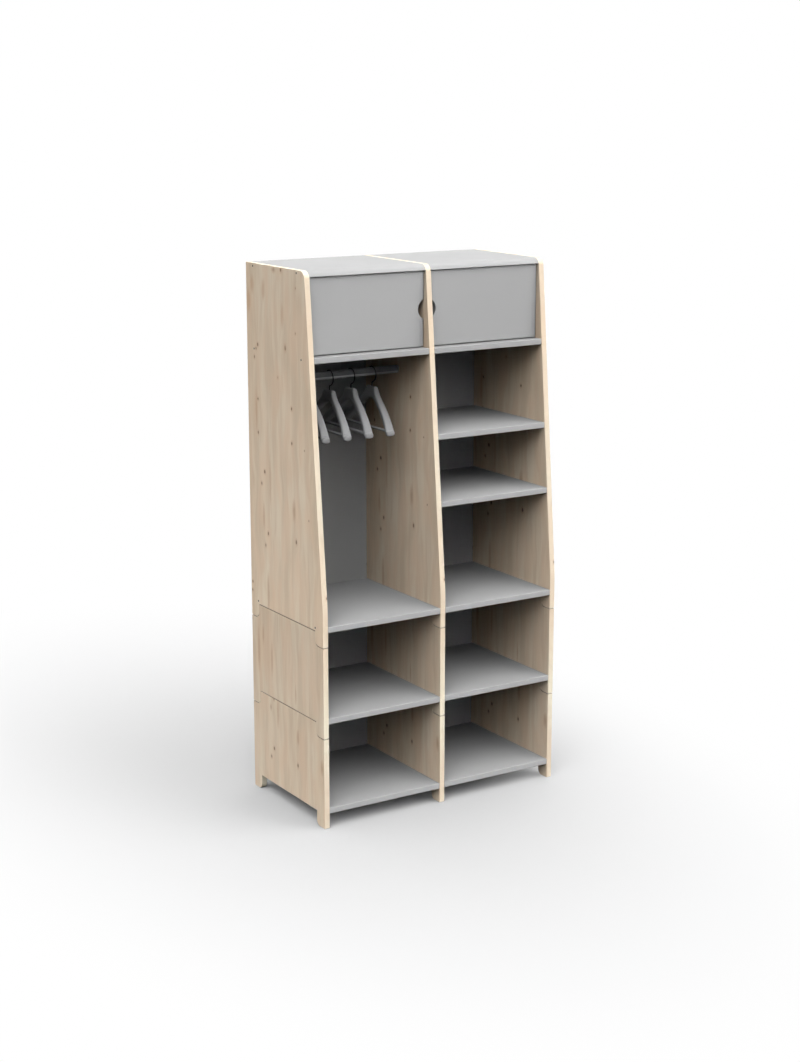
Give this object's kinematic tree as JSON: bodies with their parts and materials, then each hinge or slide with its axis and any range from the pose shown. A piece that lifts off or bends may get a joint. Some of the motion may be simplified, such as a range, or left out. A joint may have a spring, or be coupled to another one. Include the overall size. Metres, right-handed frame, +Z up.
{
  "type": "children's wardrobe",
  "caption": "Free-standing children's wardrobe in pale wood and grey: a hanging bay beside a shelf bay, with small doors at the top.",
  "frame": {"origin": "on the floor under the middle of the wardrobe", "axes": "+X to the right as seen from the front, +Y to the rear, +Z up"},
  "size_m": [0.96, 0.506, 1.892],
  "materials": {
    "clear_lacquered_spruce": "clear satin lacquer",
    "grey_lacquered_board": "grey satin lacquer",
    "grey_back_board": "grey matt lacquer",
    "rail_steel": "grey satin paint on steel",
    "pivot_steel": "plain",
    "black_hook_wire": "black, satin",
    "grey_hanger": "light grey, matt",
    "dark_screw": "dark, satin",
    "rail_plug_plastic": "grey, matt",
    "catch_plastic": "off-white, matt"
  },
  "bodies": {
    "carcass": {"back_left_base": "grey_back_board", "back_left_second": "grey_back_board", "back_left_upper": "grey_back_board", "back_right_base": "grey_back_board", "back_right_second": "grey_back_board", "back_right_upper": "grey_back_board", "hanging_rail": "rail_steel", "magnetic_catch_left": "catch_plastic", "magnetic_catch_right": "catch_plastic", "rail_plug_left": "rail_plug_plastic", "rail_plug_right": "rail_plug_plastic", "screw_left_cupboard_front": "dark_screw", "screw_left_cupboard_rear": "dark_screw", "screw_left_third_front": "dark_screw", "screw_left_third_rear": "dark_screw", "screw_left_top_front": "dark_screw", "screw_left_top_rear": "dark_screw", "screw_right_cupboard_front": "dark_screw", "screw_right_cupboard_rear": "dark_screw", "screw_right_third_front": "dark_screw", "screw_right_third_rear": "dark_screw", "screw_right_top_front": "dark_screw", "screw_right_top_rear": "dark_screw", "shelf_left_base": "grey_lacquered_board", "shelf_left_cupboard": "grey_lacquered_board", "shelf_left_second": "grey_lacquered_board", "shelf_left_third": "grey_lacquered_board", "shelf_right_base": "grey_lacquered_board", "shelf_right_cupboard": "grey_lacquered_board", "shelf_right_high": "grey_lacquered_board", "shelf_right_low": "grey_lacquered_board", "shelf_right_second": "grey_lacquered_board", "shelf_right_third": "grey_lacquered_board", "side_left_base": "clear_lacquered_spruce", "side_left_second": "clear_lacquered_spruce", "side_left_upper": "clear_lacquered_spruce", "side_middle_base": "clear_lacquered_spruce", "side_middle_second": "clear_lacquered_spruce", "side_middle_upper": "clear_lacquered_spruce", "side_right_base": "clear_lacquered_spruce", "side_right_second": "clear_lacquered_spruce", "side_right_upper": "clear_lacquered_spruce", "top_left": "grey_lacquered_board", "top_right": "grey_lacquered_board"},
    "door_left": {"door_left": "grey_lacquered_board", "door_left_lower_pin": "pivot_steel", "door_left_strike_plate": "pivot_steel", "door_left_upper_pin": "pivot_steel"},
    "door_right": {"door_right": "grey_lacquered_board", "door_right_lower_pin": "pivot_steel", "door_right_strike_plate": "pivot_steel", "door_right_upper_pin": "pivot_steel"},
    "hanger_1": {"hanger_1_bow": "grey_hanger"},
    "hook_1": {"hanger_1_hook": "black_hook_wire"},
    "hanger_2": {"hanger_2_bow": "grey_hanger"},
    "hook_2": {"hanger_2_hook": "black_hook_wire"},
    "hanger_3": {"hanger_3_bow": "grey_hanger"},
    "hook_3": {"hanger_3_hook": "black_hook_wire"},
    "hanger_4": {"hanger_4_bow": "grey_hanger"},
    "hook_4": {"hanger_4_hook": "black_hook_wire"}
  },
  "joints": [
    {"name": "door_left_hinge", "type": "hinge", "parent": "carcass", "child": "door_left", "pos_m": [-0.4455, -0.13794, 1.6135], "axis": [0, 0, -1], "range_deg": [0, 95]},
    {"name": "door_right_hinge", "type": "hinge", "parent": "carcass", "child": "door_right", "pos_m": [0.4455, -0.13794, 1.6135], "axis": [0, 0, 1], "range_deg": [0, 95]},
    {"name": "hanger_1_slide", "type": "slide", "parent": "carcass", "child": "hook_1", "axis": [1, 0, 0], "range_m": [-0.035, 0.01]},
    {"name": "hanger_1_swivel", "type": "hinge", "parent": "hook_1", "child": "hanger_1", "pos_m": [-0.369, 0.0279, 1.46345], "axis": [0, 0, 1], "range_deg": [-5, 5]},
    {"name": "hanger_2_slide", "type": "slide", "parent": "carcass", "child": "hook_2", "axis": [1, 0, 0], "range_m": [-0.01, 0.01]},
    {"name": "hanger_2_swivel", "type": "hinge", "parent": "hook_2", "child": "hanger_2", "pos_m": [-0.284, 0.0279, 1.46345], "axis": [0, 0, 1], "range_deg": [-5, 5]},
    {"name": "hanger_3_slide", "type": "slide", "parent": "carcass", "child": "hook_3", "axis": [1, 0, 0], "range_m": [-0.01, 0.01]},
    {"name": "hanger_3_swivel", "type": "hinge", "parent": "hook_3", "child": "hanger_3", "pos_m": [-0.199, 0.0279, 1.46345], "axis": [0, 0, 1], "range_deg": [-5, 5]},
    {"name": "hanger_4_slide", "type": "slide", "parent": "carcass", "child": "hook_4", "axis": [1, 0, 0], "range_m": [-0.01, 0.085]},
    {"name": "hanger_4_swivel", "type": "hinge", "parent": "hook_4", "child": "hanger_4", "pos_m": [-0.114, 0.0279, 1.46345], "axis": [0, 0, 1], "range_deg": [-5, 5]}
  ]
}
